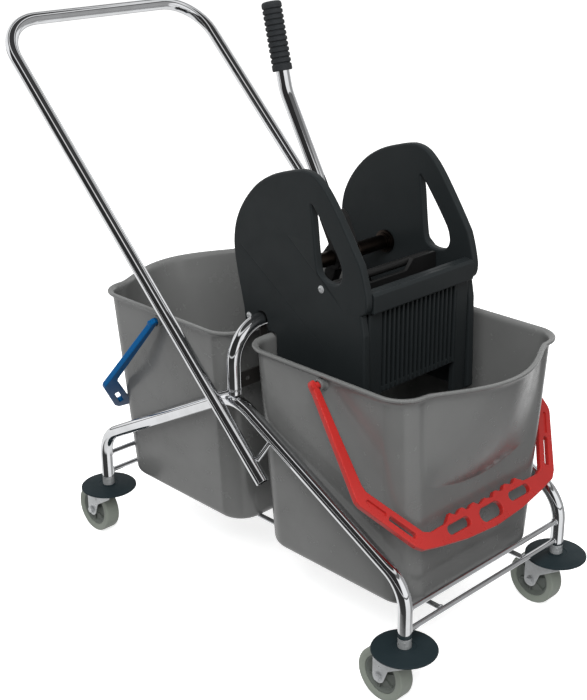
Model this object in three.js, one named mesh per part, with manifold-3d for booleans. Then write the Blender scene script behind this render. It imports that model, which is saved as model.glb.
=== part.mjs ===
// Twin-bucket mop trolley with a hanging lever wringer.
// Millimetres, Z up, floor at z = 0, +X towards the front bucket, +Y to the trolley's left side.
import * as THREE from "three";
import { mergeVertices } from "three/addons/utils/BufferGeometryUtils.js";
import Module from "manifold-3d";

const wasm = await Module();
wasm.setup();

// ---- driving dimensions ----
const gap = 0.3;
const tubeR = 10;
const tubeBore = 8.5;
const rodR = 4;

const caster = { x: 332, y: 173, trail: 33, wheelR: 40, tyreW: 25, facets: 24 };
const disc = { r: 46, bottom: 91.3, rim: 94, top: 97 };
const collar = { r: 9.6, bottom: 97.3, top: 112 };
const fork = { inner: 13.3, outer: 15.8, crown: 87, headTop: 91, headR: 17 };

const rail = { y: 173, foot: 112.3, shoulder: 187.4, peak: 362.9, legBend: 59, peakBend: 70 };
const arch = { foot: 352, top: 465, bend: 55 };
const handle = { y: 199, lowX: 84.8, lowZ: 262, topX: -510, topZ: 844.3, bend: 73 };
const cross = { lower: 119, upper: 152, reach: 162.6 };
const baseRod = { y: 94, reach: 327.6 };
const strapBar = { thick: 3, bottom: 370, top: 394, strapY: 108, strapW: 13, strapTop: 454.2 };

const bucket = {
  floor: 123.4, rimTop: 447.5, lipDrop: 10, lipOut: 8, wall: 3,
  topInner: 23, topOuter: 316, topHalfY: 167.2, topCorner: 36,
  lowInner: 27, lowOuter: 309.5, lowHalfY: 146.5, lowCorner: 42,
  spoutOut: 45, spoutHalfY: 128, spoutFrom: 296,
};
const bail = {
  pivotX: 173, pivotZ: 431, hang: 39.3, thick: 14, pinR: 5, bossR: 10, bossOut: 176.6,
};
const cheek = { outer: 117.5, inner: 104.5 };
const shaft = { x: 38.2, z: 541.3, r: 11, journalR: 8 };
const plate = { x: 131, thick: 6, halfY: 103.6, bottom: 362, top: 547, pad: 28.6 };
const grid = { back: 188, front: 198, bottom: 347, ribBottom: 397.5, top: 549, halfY: 104.1, ribs: 17 };
const rearTie = { x: -26.4, z: 463, r: 5.5 };
const frontTie = { x: 121, z: 538.5, r: 6 };
const lever = { offset: 19.4, tilt: 29.3, gripTilt: 13.2, bendX: -66.4, bendZ: 767.9, bend: 70, r: 10, bore: 8.5 };
const grip = { r: 14.6, bore: 10.7, length: 98, ribs: 11 };

// ---- finishes ----
const finishes = {
  chrome: { color: 0xc9ccd0, roughness: 0.12, metalness: 1.0 },
  zinc: { color: 0xb9bcbd, roughness: 0.38, metalness: 0.9 },
  blackSteel: { color: 0x1c1b19, roughness: 0.5, metalness: 0.3 },
  greyPlastic: { color: 0x6f7273, roughness: 0.42, metalness: 0.0 },
  blackPlastic: { color: 0x24282a, roughness: 0.5, metalness: 0.0 },
  discRubber: { color: 0x1d272b, roughness: 0.6, metalness: 0.0 },
  tyreRubber: { color: 0x7d857d, roughness: 0.7, metalness: 0.0 },
  hubPlastic: { color: 0x5f6660, roughness: 0.55, metalness: 0.0 },
  redPlastic: { color: 0xc8332c, roughness: 0.35, metalness: 0.0 },
  bluePlastic: { color: 0x0a4f8c, roughness: 0.35, metalness: 0.0 },
  gripRubber: { color: 0x2a2d30, roughness: 0.75, metalness: 0.0 },
  brownSteel: { color: 0x3a312b, roughness: 0.45, metalness: 0.6 },
};

const group = new THREE.Group();
group.name = "mop_bucket_trolley";

function add(name, finish, geometry) {
  const material = new THREE.MeshStandardMaterial(finishes[finish]);
  const mesh = new THREE.Mesh(geometry, material);
  mesh.name = name;
  group.add(mesh);
  return mesh;
}

// ---- solid helpers ----
function solidOf(geometry) {
  const bare = geometry.clone();
  bare.deleteAttribute("normal");
  bare.deleteAttribute("uv");
  const merged = mergeVertices(bare, 1e-3);
  const vertProperties = new Float32Array(merged.attributes.position.array);
  const triVerts = new Uint32Array(merged.index.array);
  return new wasm.Manifold(new wasm.Mesh({ numProp: 3, vertProperties, triVerts }));
}

function geometryOf(solid) {
  const mesh = solid.getMesh();
  const geometry = new THREE.BufferGeometry();
  geometry.setAttribute("position", new THREE.BufferAttribute(new Float32Array(mesh.vertProperties), 3));
  geometry.setIndex(new THREE.BufferAttribute(new Uint32Array(mesh.triVerts), 1));
  const flat = geometry.toNonIndexed();
  flat.computeVertexNormals();
  return flat;
}

function box(x0, x1, y0, y1, z0, z1) {
  const geometry = new THREE.BoxGeometry(x1 - x0, y1 - y0, z1 - z0);
  return geometry.translate((x0 + x1) / 2, (y0 + y1) / 2, (z0 + z1) / 2);
}

function rod(from, to, radius, sides = 12) {
  const a = new THREE.Vector3(...from);
  const b = new THREE.Vector3(...to);
  const way = b.clone().sub(a);
  const geometry = new THREE.CylinderGeometry(radius, radius, way.length(), sides);
  const turn = new THREE.Quaternion().setFromUnitVectors(new THREE.Vector3(0, 1, 0), way.normalize());
  geometry.applyQuaternion(turn);
  const middle = a.add(b).multiplyScalar(0.5);
  return geometry.translate(middle.x, middle.y, middle.z);
}

// revolves [radius, height] pairs about Y; the list ends where it starts or on the axis
function turned(profile, segments, start = 0) {
  const points = profile.map(([r, h]) => new THREE.Vector2(r, h));
  return new THREE.LatheGeometry(points, segments, start);
}

function uprightTurned(profile, segments, x, y) {
  return turned(profile, segments).rotateX(Math.PI / 2).translate(x, y, 0);
}

function polygon(points) {
  return new THREE.Shape(points.map(([a, b]) => new THREE.Vector2(a, b)));
}

function hole(points) {
  return new THREE.Path(points.map(([a, b]) => new THREE.Vector2(a, b)));
}

// side view outline (x, z) pushed out along Y
function sidePrism(shape, y0, y1, bevel = 0) {
  const options = { depth: y1 - y0 - 2 * bevel, bevelEnabled: bevel > 0, curveSegments: 8 };
  if (bevel > 0) {
    options.bevelThickness = bevel;
    options.bevelSize = bevel;
    options.bevelOffset = -bevel;
    options.bevelSegments = 1;
  }
  const geometry = new THREE.ExtrudeGeometry(shape, options);
  return geometry.rotateX(Math.PI / 2).translate(0, y1 - bevel, 0);
}

// front view outline (y, z) pushed out along X
function frontPrism(shape, x0, x1) {
  const geometry = new THREE.ExtrudeGeometry(shape, { depth: x1 - x0, bevelEnabled: false });
  const turn = new THREE.Matrix4().makeBasis(
    new THREE.Vector3(0, 1, 0), new THREE.Vector3(0, 0, 1), new THREE.Vector3(1, 0, 0));
  return geometry.applyMatrix4(turn).translate(x0, 0, 0);
}

function arcPoints(cx, cz, r, fromDeg, toDeg, steps) {
  return Array.from({ length: steps + 1 }, (_, i) => {
    const a = THREE.MathUtils.degToRad(fromDeg + ((toDeg - fromDeg) * i) / steps);
    return [cx + r * Math.cos(a), cz + r * Math.sin(a)];
  });
}

// a polyline whose corners are rounded by true arcs, sampled only where it bends
class BentPath extends THREE.Curve {
  constructor(corners, bends, steps = 5) {
    super();
    this.spots = [];
    this.ways = [];
    const at = corners.map((c) => new THREE.Vector3(...c));
    const last = at.length - 1;
    const heading = (i) => at[i + 1].clone().sub(at[i]).normalize();
    this.mark(at[0], heading(0));
    for (let i = 1; i < last; i += 1) {
      this.turn(at[i], heading(i - 1), heading(i), bends[i - 1], steps);
    }
    this.mark(at[last], heading(last - 1));
  }

  mark(spot, way) {
    this.spots.push(spot.clone());
    this.ways.push(way.clone());
  }

  turn(corner, before, after, radius, steps) {
    const angle = before.angleTo(after);
    const reach = radius * Math.tan(angle / 2);
    const start = corner.clone().addScaledVector(before, -reach);
    const inward = after.clone().addScaledVector(before, -Math.cos(angle)).normalize();
    for (let k = 0; k <= steps; k += 1) {
      const a = (angle * k) / steps;
      const spot = start.clone().addScaledVector(before, radius * Math.sin(a));
      spot.addScaledVector(inward, radius * (1 - Math.cos(a)));
      const way = before.clone().multiplyScalar(Math.cos(a)).addScaledVector(inward, Math.sin(a));
      this.mark(spot, way);
    }
  }

  get steps() {
    return this.spots.length - 1;
  }

  getPoint(u, target = new THREE.Vector3()) {
    return target.copy(this.spots[Math.round(u * this.steps)]);
  }

  getPointAt(u, target = new THREE.Vector3()) {
    return this.getPoint(u, target);
  }

  getTangentAt(u, target = new THREE.Vector3()) {
    return target.copy(this.ways[Math.round(u * this.steps)]);
  }
}

function ringShape(outer, bore) {
  const shape = polygon(arcPoints(0, 0, outer, 18, 342, 9));
  if (bore > 0) shape.holes.push(hole(arcPoints(0, 0, bore, 22.5, 337.5, 7)));
  return shape;
}

function bentTube(path, outer = tubeR, bore = tubeBore) {
  return new THREE.ExtrudeGeometry(ringShape(outer, bore), { steps: path.steps, extrudePath: path });
}

// ---- frame ----
const railPath = (y, foot = rail.foot) => new BentPath(
  [
    [-caster.x, y, foot], [-caster.x, y, rail.shoulder], [0, y, rail.peak],
    [caster.x, y, rail.shoulder], [caster.x, y, foot],
  ],
  [rail.legBend, rail.peakBend, rail.legBend]);

const archPath = () => new BentPath(
  [[0, -rail.y, arch.foot], [0, -rail.y, arch.top], [0, rail.y, arch.top], [0, rail.y, arch.foot]],
  [arch.bend, arch.bend]);

const handlePath = () => new BentPath(
  [
    [handle.lowX, -handle.y, handle.lowZ], [handle.topX, -handle.y, handle.topZ],
    [handle.topX, handle.y, handle.topZ], [handle.lowX, handle.y, handle.lowZ],
  ],
  [handle.bend, handle.bend]);

function fatSolid(path) {
  return solidOf(bentTube(path, tubeR + gap, 0));
}

const sides = [["right", -1], ["left", 1]];
const ends = [["rear", -1], ["front", 1]];

for (const [side, s] of sides) {
  add(`side_rail_${side}`, "chrome", bentTube(railPath(s * rail.y)));
}
const railFats = sides.map(([, s]) => fatSolid(railPath(s * rail.y)));
const archFat = fatSolid(archPath());
const handleFat = fatSolid(handlePath());

const archSolid = railFats.reduce((body, fat) => body.subtract(fat), solidOf(bentTube(archPath())));
const archPieces = archSolid.decompose().sort((a, b) => b.volume() - a.volume());
add("wringer_arch", "chrome", geometryOf(archPieces[0]));
add("push_handle", "chrome", bentTube(handlePath()));

function trimmedPin(from, to, cutters) {
  const pin = cutters.reduce((body, fat) => body.subtract(fat), solidOf(rod(from, to, rodR, 10)));
  const middle = from.map((v, i) => (v + to[i]) / 2);
  const near = (piece) => {
    const { min, max } = piece.boundingBox();
    return Math.hypot(...middle.map((v, i) => v - (min[i] + max[i]) / 2));
  };
  return geometryOf(pin.decompose().sort((a, b) => near(a) - near(b))[0]);
}

for (const [side, s] of sides) {
  const fats = [handleFat, archFat, railFats[s < 0 ? 0 : 1]];
  add(`upper_pin_${side}`, "chrome", trimmedPin([-19, s * handle.y, 364], [0, s * rail.y, 371], fats));
  add(`lower_pin_${side}`, "chrome", trimmedPin([63.7, s * handle.y, 282.6], [80, s * rail.y, 318], fats));
}

for (const [end, e] of ends) {
  const x = e * caster.x;
  add(`cross_rod_lower_${end}`, "chrome", rod([x, -cross.reach, cross.lower], [x, cross.reach, cross.lower], rodR));
  add(`cross_rod_upper_${end}`, "chrome", rod([x, -cross.reach, cross.upper], [x, cross.reach, cross.upper], rodR));
}
for (const [side, s] of sides) {
  const y = s * baseRod.y;
  add(`base_rod_${side}`, "chrome", rod([-baseRod.reach, y, cross.lower], [baseRod.reach, y, cross.lower], rodR));
}

function strapShape() {
  const h = cross.reach;
  const y0 = strapBar.strapY;
  const y1 = strapBar.strapY + strapBar.strapW;
  return polygon([
    [-h, strapBar.bottom], [h, strapBar.bottom], [h, strapBar.top],
    [y1, strapBar.top], [y1, strapBar.strapTop], [y0, strapBar.strapTop], [y0, strapBar.top],
    [-y0, strapBar.top], [-y0, strapBar.strapTop], [-y1, strapBar.strapTop], [-y1, strapBar.top],
    [-h, strapBar.top],
  ]);
}
add("arch_cross_bar", "blackSteel", frontPrism(strapShape(), -strapBar.thick / 2, strapBar.thick / 2));

// ---- casters ----
function stemGeometry(x, y) {
  const profile = [
    [0, 88.6], [5.7, 88.6], [5.7, collar.bottom], [collar.r, collar.bottom], [collar.r, collar.top],
    [7.6, collar.top], [7.6, 128], [0, 128],
  ];
  return uprightTurned(profile, 12, x, y);
}

function discGeometry(x, y) {
  const profile = [
    [6.2, disc.bottom], [disc.r - 1, disc.bottom], [disc.r, disc.rim - 0.8],
    [disc.r - 3, disc.rim + 0.8], [18, disc.top], [6.2, disc.top], [6.2, disc.bottom],
  ];
  return uprightTurned(profile, 24, x, y);
}

function forkGeometry(x, y) {
  const axleX = -caster.trail;
  const side = polygon([
    ...arcPoints(axleX, caster.wheelR, 10.5, 180, 350, 6),
    [-15, 57], [19, 77], [20, fork.crown], [-43.5, fork.crown],
  ]);
  const hollow = polygon([[-70, 83.6], [16.5, 83.6], [16, 79.2], [0, 70.4], [0, 10], [-70, 10]]);
  let body = solidOf(sidePrism(side, -fork.outer, fork.outer));
  body = body.subtract(solidOf(sidePrism(hollow, -fork.inner, fork.inner)));
  body = body.add(solidOf(rod([0, 0, 84.6], [0, 0, fork.headTop], fork.headR, 16)));
  body = body.subtract(solidOf(rod([0, 0, 88.2], [0, 0, 96], 6.1, 12)));
  body = body.subtract(solidOf(rod([axleX, -20, caster.wheelR], [axleX, 20, caster.wheelR], 4.4, 10)));
  return geometryOf(body).translate(x, y, 0);
}

function wheelPlace(geometry, x, y) {
  return geometry.translate(x - caster.trail, y, caster.wheelR);
}

function tyreGeometry(x, y) {
  const half = caster.tyreW / 2;
  const step = Math.PI / caster.facets;
  const r = caster.wheelR / Math.cos(step);
  const profile = [
    [28, 1.5 - half], [r - 5, -half], [r, 4 - half], [r, half - 4], [r - 5, half], [28, half - 1.5],
    [28, 1.5 - half],
  ];
  return wheelPlace(turned(profile, caster.facets, step), x, y);
}

function hubGeometry(x, y) {
  const profile = [
    [4.5, -13], [9, -13], [10, -7], [23, -6], [27.6, -10],
    [27.6, 10], [23, 6], [10, 7], [9, 13], [4.5, 13], [4.5, -13],
  ];
  return wheelPlace(turned(profile, 15), x, y);
}

function axleGeometry(x, y) {
  const profile = [
    [0, -20.6], [5.5, -20.6], [6.8, -19.6], [6.8, -16.1], [4.1, -16.1],
    [4.1, 16.1], [6.8, 16.1], [6.8, 21], [0, 21],
  ];
  return wheelPlace(turned(profile, 6), x, y);
}

for (const [end, e] of ends) {
  for (const [side, s] of sides) {
    const x = e * caster.x;
    const y = s * caster.y;
    const tag = `${end}_${side}`;
    add(`caster_stem_${tag}`, "zinc", stemGeometry(x, y));
    add(`bumper_disc_${tag}`, "discRubber", discGeometry(x, y));
    add(`caster_fork_${tag}`, "zinc", forkGeometry(x, y));
    add(`tyre_${tag}`, "tyreRubber", tyreGeometry(x, y));
    add(`wheel_hub_${tag}`, "hubPlastic", hubGeometry(x, y));
    add(`axle_bolt_${tag}`, "zinc", axleGeometry(x, y));
  }
}

// ---- buckets ----
function mix(a, b, t) {
  return a + (b - a) * t;
}

// how far down the wall the pouring lip has faded, 0 at its lower edge and 1 at the rim
function spoutShare(z) {
  const t = (z - bucket.spoutFrom) / (bucket.rimTop - bucket.spoutFrom);
  return THREE.MathUtils.clamp(t, 0, 1) ** 0.8;
}

function spoutBulge(y) {
  const t = Math.min(Math.abs(y) / bucket.spoutHalfY, 1);
  return bucket.spoutOut * (1 - t * t) ** 1.35;
}

// one closed ring of the bucket at height z, grown outwards by off
function bucketRing(z, off) {
  const t = (z - bucket.floor) / (bucket.rimTop - bucket.lipDrop - bucket.floor);
  const u = Math.min(t, 1);
  const inner = mix(bucket.lowInner, bucket.topInner, u) - off;
  const outer = mix(bucket.lowOuter, bucket.topOuter, u) + off;
  const half = mix(bucket.lowHalfY, bucket.topHalfY, u) + off;
  const r = Math.max(mix(bucket.lowCorner, bucket.topCorner, u) + off, 6);
  const share = spoutShare(z);
  const ring = [];
  const corner = (cx, cy, from) => ring.push(...arcPoints(cx, cy, r, from, from + 90, 5));
  corner(inner + r, half - r, 90);
  corner(inner + r, r - half, 180);
  corner(outer - r, r - half, 270);
  const steps = 14;
  for (let i = 1; i < steps; i += 1) {
    const y = mix(r - half, half - r, i / steps);
    ring.push([outer + share * spoutBulge(y), y]);
  }
  corner(outer - r, half - r, 0);
  return ring.map(([x, y]) => new THREE.Vector3(x, y, z));
}

// joins rings into one skin and closes both ends with a fan
function loft(rings) {
  const positions = [];
  const n = rings[0].length;
  const put = (...points) => points.forEach((p) => positions.push(p.x, p.y, p.z));
  const centre = (ring) => ring.reduce((sum, p) => sum.add(p), new THREE.Vector3()).divideScalar(n);
  const first = centre(rings[0]);
  const last = centre(rings[rings.length - 1]);
  for (let i = 0; i < n; i += 1) {
    const j = (i + 1) % n;
    put(first, rings[0][j], rings[0][i]);
    for (let k = 0; k + 1 < rings.length; k += 1) {
      const [a, b, c, d] = [rings[k][i], rings[k][j], rings[k + 1][j], rings[k + 1][i]];
      put(a, b, c);
      put(a, c, d);
    }
    put(last, rings[rings.length - 1][i], rings[rings.length - 1][j]);
  }
  const geometry = new THREE.BufferGeometry();
  geometry.setAttribute("position", new THREE.Float32BufferAttribute(positions, 3));
  geometry.computeVertexNormals();
  return geometry;
}

function bucketShell() {
  const { floor, rimTop, wall, lipOut } = bucket;
  const lipZ = rimTop - bucket.lipDrop;
  const outside = [[floor, -14], [floor + 4, -4], [floor + 14, 0], [296, 0], [345, 0], [lipZ, 0]];
  const lip = [[lipZ, lipOut - 1], [rimTop - 3, lipOut], [rimTop, lipOut - 3], [rimTop, 0], [rimTop - 3, -wall]];
  const inside = [[345, -wall], [296, -wall], [floor + 16, -wall], [floor + wall + 4, -wall - 4],
    [floor + wall, -14]];
  return loft([...outside, ...lip, ...inside].map(([z, off]) => bucketRing(z, off)));
}

function bucketGeometry() {
  let body = solidOf(bucketShell());
  for (const [, s] of sides) {
    const from = s * (bucket.topHalfY - 1.5);
    const to = s * bail.bossOut;
    body = body.add(solidOf(rod([bail.pivotX, from, bail.pivotZ], [bail.pivotX, to, bail.pivotZ], bail.bossR, 16)));
    const mouth = s * (bail.bossOut + 3);
    const bottom = s * (bucket.topHalfY + 0.8);
    body = body.subtract(
      solidOf(rod([bail.pivotX, bottom, bail.pivotZ], [bail.pivotX, mouth, bail.pivotZ], bail.pinR + gap + 0.1, 12)));
  }
  return geometryOf(body);
}

add("front_bucket", "greyPlastic", bucketGeometry());
add("rear_bucket", "greyPlastic", bucketGeometry().rotateZ(Math.PI));

// ---- bails ----
// outlines are (across, down the bail from its pivot)
const bailOuter = [[186, -9], [189, -4], [189.5, 10], [209.5, 160], [207, 168], [154, 247], [143, 256],
  [110, 263], [60, 271], [0, 275]];
const bailInner = [[0, 233], [14, 237], [24, 231], [38, 235.5], [48, 229.5], [62, 234], [72, 228.5], [86, 238],
  [118, 239], [130, 234], [187, 154], [189, 144], [178.3, 10], [178.3, -4], [181, -9]];
const slotHalf = { centre: 13.5, side: 16.5 };

function bailOutline() {
  const half = [...bailOuter].reverse().map(([a, s]) => [a, -s]);
  const inner = [...bailInner].reverse().map(([a, s]) => [a, -s]);
  const right = [...half, ...inner];
  const left = right.map(([a, b]) => [-a, b]).reverse();
  const keep = (list) => list.filter(([a], i) => !(i > 0 && a === 0 && i < list.length - 1));
  return [...keep(right), ...keep(left.slice(1, -1))];
}

function bailSlot(across, down, half, r) {
  return hole([
    ...arcPoints(across + half, -down, r, -90, 90, 4),
    ...arcPoints(across - half, -down, r, 90, 270, 4),
  ]);
}

function channelCutter(s) {
  const path = polygon([[s * 196, -173], [s * 189, -168], [s * 143, -238], [s * 150, -243]]);
  return new THREE.ExtrudeGeometry(path, { depth: 6, bevelEnabled: false }).translate(0, 0, bail.thick / 2 - 4);
}

function bailGeometry() {
  const shape = polygon(bailOutline());
  shape.holes.push(bailSlot(0, 254, slotHalf.centre, 10));
  shape.holes.push(bailSlot(-67, 249.5, slotHalf.side, 6.5));
  shape.holes.push(bailSlot(67, 249.5, slotHalf.side, 6.5));
  const flat = new THREE.ExtrudeGeometry(shape, { depth: bail.thick, bevelEnabled: false, curveSegments: 6 });
  let body = solidOf(flat.translate(0, 0, -bail.thick / 2));
  for (const [, s] of sides) {
    body = body.add(solidOf(rod([s * 181, 0, 0], [s * (bucket.topHalfY + 1.2), 0, 0], bail.pinR, 12)));
    body = body.subtract(solidOf(channelCutter(s)));
  }
  const turn = new THREE.Matrix4().makeBasis(
    new THREE.Vector3(0, 1, 0), new THREE.Vector3(0, 0, 1), new THREE.Vector3(1, 0, 0));
  const geometry = geometryOf(body).applyMatrix4(turn);
  geometry.rotateY(-THREE.MathUtils.degToRad(bail.hang));
  return geometry.translate(bail.pivotX, 0, bail.pivotZ);
}

add("front_bail", "redPlastic", bailGeometry());
add("rear_bail", "bluePlastic", bailGeometry().rotateZ(Math.PI));

// ---- wringer cheeks ----
const cheekOutline = [
  [-36, 448.4], [-10.4, 448.4],
  ...arcPoints(0, arch.top, tubeR + gap + 0.1, 180, 0, 8),
  ...[[10.4, 448.4], [29.5, 448.4], [29.5, 372], [52, 347], [199, 347], [204, 352], [200, 490], [194.7, 517],
    [203, 524], [204.8, 543], [195.7, 578], [186.6, 596], [154.7, 643.5], [133.8, 671], [118.3, 686],
    [108, 692.5], [96, 696], [80, 696], [54.6, 690], [24.6, 680], [-6.4, 661.5], [-32.8, 634], [-50, 604],
    [-56.4, 575], [-55, 548], [-50, 522], [-39, 475]],
];
const gripHole = [
  [102, 650.5], [105.4, 629.5], [109.2, 593], [113, 566], [118, 556], [126, 551.5], [137, 549.8], [149, 551.6],
  [156, 557], [158.8, 566], [157, 577], [152, 588], [138.3, 608], [121, 631.5], [106, 650],
];
const grooveBands = [[500, 512], [400, 412]];

function cheekGeometry(s) {
  const shape = polygon(cheekOutline);
  shape.holes.push(hole(gripHole));
  let body = solidOf(sidePrism(shape, cheek.inner, cheek.outer, 1.6));
  const drill = (x, z, r, from, to) => {
    body = body.subtract(solidOf(rod([x, from, z], [x, to, z], r, 12)));
  };
  drill(shaft.x, shaft.z, shaft.journalR + gap, cheek.inner - 5, cheek.inner + 8);
  drill(rearTie.x, rearTie.z, 3.4, 90, 130);
  drill(frontTie.x, frontTie.z, 3.4, 90, 130);
  for (const [low, high] of grooveBands) {
    body = body.subtract(solidOf(box(126, 189.5, cheek.inner - 5, cheek.inner + 5, low, high)));
  }
  const geometry = geometryOf(body);
  return s > 0 ? geometry : mirroredInY(geometry);
}

// mirrors across the XZ plane and turns each triangle round so that it still faces outwards
function mirroredInY(geometry) {
  const position = geometry.attributes.position;
  for (let i = 0; i < position.count; i += 3) {
    const corners = [0, 2, 1].map((k) => new THREE.Vector3().fromBufferAttribute(position, i + k));
    corners.forEach((p, k) => position.setXYZ(i + k, p.x, -p.y, p.z));
  }
  geometry.computeVertexNormals();
  return geometry;
}

for (const [side, s] of sides) {
  add(`wringer_cheek_${side}`, "blackPlastic", cheekGeometry(s));
}

function tieGeometry(tie) {
  const half = cheek.inner - gap;
  const profile = [
    [0, -half + 12], [3.4, -half + 12], [3.4, -half], [tie.r, -half],
    [tie.r, half], [3.4, half], [3.4, half - 12], [0, half - 12],
  ];
  return turned(profile, 12).translate(tie.x, 0, tie.z);
}

function screwGeometry(tie, s) {
  const seat = cheek.outer + gap;
  const profile = [[0, seat - 22], [3, seat - 22], [3, seat], [6, seat], [5, seat + 2.2], [0, seat + 3.2]];
  const geometry = turned(profile, 10);
  if (s < 0) geometry.rotateZ(Math.PI);
  return geometry.translate(tie.x, 0, tie.z);
}

for (const [name, tie] of [["rear", rearTie], ["front", frontTie]]) {
  add(`wringer_tie_${name}`, "blackPlastic", tieGeometry(tie));
  for (const [side, s] of sides) {
    add(`wringer_screw_${name}_${side}`, "zinc", screwGeometry(tie, s));
  }
}

// ---- wringer front grid ----
function gridGeometry() {
  const { halfY, bottom, ribBottom, top } = grid;
  const ribHalf = 78;
  const shape = polygon([
    [-halfY, bottom], [-ribHalf, bottom], [-ribHalf, ribBottom], [ribHalf, ribBottom], [ribHalf, bottom],
    [halfY, bottom], [halfY, top], [-halfY, top],
  ]);
  let body = solidOf(frontPrism(shape, grid.back, grid.front));
  body = body.add(solidOf(box(grid.front - 4, 207, -halfY, halfY, 519, top - 0.5)));
  const pitch = (2 * ribHalf) / grid.ribs;
  for (let i = 1; i < grid.ribs; i += 1) {
    const y = -ribHalf + i * pitch;
    body = body.subtract(solidOf(box(grid.back - 1, grid.front + 1, y - 2, y + 2, ribBottom + 8, 515)));
  }
  return geometryOf(body);
}
add("wringer_grid", "blackPlastic", gridGeometry());

// ---- press plate ----
function pressPlateGeometry() {
  const { halfY, bottom, top } = plate;
  const notch = 39;
  const shape = polygon([
    [-halfY, bottom], [halfY, bottom], [halfY, top], [notch + 14, top], [notch, top - 15],
    [-notch, top - 15], [-notch - 14, top], [-halfY, top],
  ]);
  let body = solidOf(frontPrism(shape, plate.x, plate.x + plate.thick));
  for (const y of [-84, -63, -42, -21, 21, 42, 63, 84]) {
    body = body.subtract(solidOf(box(plate.x - 1, plate.x + plate.thick + 1, y - 3, y + 3, 418, 492)));
  }
  const gusset = polygon([
    [plate.x + 1, 438], [plate.x + 1, 518], [plate.pad + 1, 489], [plate.pad + 1, 468],
  ]);
  for (const [, s] of sides) {
    body = body.add(solidOf(sidePrism(gusset, s * 13 - 2, s * 13 + 2)));
  }
  body = body.add(solidOf(box(plate.pad, plate.pad + 5, -17, 17, 468, 489)));
  for (const [low, high] of grooveBands) {
    body = body.add(solidOf(box(plate.x - 2, plate.x + 8, -109, 109, low + 1, high - 1)));
  }
  return geometryOf(body);
}
add("press_plate", "blackPlastic", pressPlateGeometry());

// ---- cross shaft, lever hub, spring ----
function shaftGeometry() {
  const half = cheek.inner - gap;
  const profile = [
    [0, -half - 7], [shaft.journalR, -half - 7], [shaft.journalR, -half], [17, -half], [17, -half + 5],
    [shaft.r, -half + 5], [shaft.r, half - 5], [17, half - 5], [17, half], [shaft.journalR, half],
    [shaft.journalR, half + 7], [0, half + 7],
  ];
  return turned(profile, 16).translate(shaft.x, 0, shaft.z);
}
add("wringer_shaft", "brownSteel", shaftGeometry());

const leverWay = new THREE.Vector2(0, 1).rotateAround(new THREE.Vector2(), THREE.MathUtils.degToRad(lever.tilt));
const leverSide = new THREE.Vector2(leverWay.y, -leverWay.x);

// a point beside the shaft: up along the lever, then out towards the front
function besideLever(up, out) {
  return [
    shaft.x + leverSide.x * lever.offset + leverWay.x * up + leverSide.x * out,
    shaft.z + leverSide.y * lever.offset + leverWay.y * up + leverSide.y * out,
  ];
}

function hubBodyGeometry() {
  const block = polygon([
    ...arcPoints(shaft.x, shaft.z, 19, 170, 330, 8),
    besideLever(4, 15), besideLever(46, 19), besideLever(60, 14.5), besideLever(60, -14.5), besideLever(20, -15),
  ]);
  const armEnd = 56;
  const a = -110;
  const tip = arcPoints(shaft.x, shaft.z, armEnd, a, a, 1)[0];
  const foot = arcPoints(shaft.x, shaft.z, 12, a - 90, a + 90, 1);
  const arm = polygon([foot[0], ...arcPoints(tip[0], tip[1], 8, a - 85, a + 85, 6), foot[1]]);
  let body = solidOf(sidePrism(block, -14.2, 14.2));
  body = body.add(solidOf(sidePrism(arm, -8, 8)));
  body = body.subtract(solidOf(rod([shaft.x, -20, shaft.z], [shaft.x, 20, shaft.z], shaft.r + gap, 16)));
  const low = besideLever(13.6, 0);
  const high = besideLever(80, 0);
  return geometryOf(body.subtract(solidOf(rod([low[0], 0, low[1]], [high[0], 0, high[1]], lever.r + gap, 14))));
}
add("lever_hub", "blackPlastic", hubBodyGeometry());

function springGeometry() {
  const coils = 4;
  const perCoil = 10;
  const path = new THREE.CatmullRomCurve3(
    Array.from({ length: coils * perCoil + 1 }, (_, i) => {
      const a = (2 * Math.PI * i) / perCoil;
      const y = 18 + (i / perCoil) * 5;
      return new THREE.Vector3(shaft.x + 14 * Math.cos(a), y, shaft.z + 14 * Math.sin(a));
    }));
  const wire = polygon(arcPoints(0, 0, 1.6, 36, 324, 4));
  return new THREE.ExtrudeGeometry(wire, { steps: coils * perCoil, extrudePath: path });
}
add("return_spring", "zinc", springGeometry());

// ---- lever and grip ----
const gripWay = new THREE.Vector2(0, 1).rotateAround(new THREE.Vector2(), THREE.MathUtils.degToRad(lever.gripTilt));
const gripFoot = [lever.bendX + gripWay.x * 28, lever.bendZ + gripWay.y * 28];

function leverGeometry() {
  const low = besideLever(14, 0);
  const top = [gripFoot[0] + gripWay.x * (grip.length - 5), gripFoot[1] + gripWay.y * (grip.length - 5)];
  const path = new BentPath(
    [[low[0], 0, low[1]], [lever.bendX, 0, lever.bendZ], [top[0], 0, top[1]]], [lever.bend], 4);
  return bentTube(path, lever.r, lever.bore);
}
add("wringer_lever", "chrome", leverGeometry());

function gripGeometry() {
  const profile = [[grip.bore, 0], [grip.r - 1, 0], [grip.r, 1], [grip.r, 9]];
  const pitch = (grip.length - 14) / grip.ribs;
  for (let i = 0; i < grip.ribs; i += 1) {
    const h = 10 + i * pitch;
    profile.push([grip.r - 1.8, h + 0.5], [grip.r, h + 3.2]);
  }
  profile.push([grip.r - 3, grip.length], [0, grip.length]);
  profile.push([0, grip.length - 4], [grip.bore, grip.length - 4], [grip.bore, 0]);
  const geometry = turned(profile, 12).rotateX(Math.PI / 2);
  geometry.rotateY(-THREE.MathUtils.degToRad(lever.gripTilt));
  return geometry.translate(gripFoot[0], 0, gripFoot[1]);
}
add("lever_grip", "gripRubber", gripGeometry());

// ---- centre the footprint on the origin ----
const bounds = new THREE.Box3().setFromObject(group);
const shift = bounds.getCenter(new THREE.Vector3());
for (const mesh of group.children) {
  mesh.geometry.translate(-shift.x, -shift.y, -bounds.min.z);
}

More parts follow.
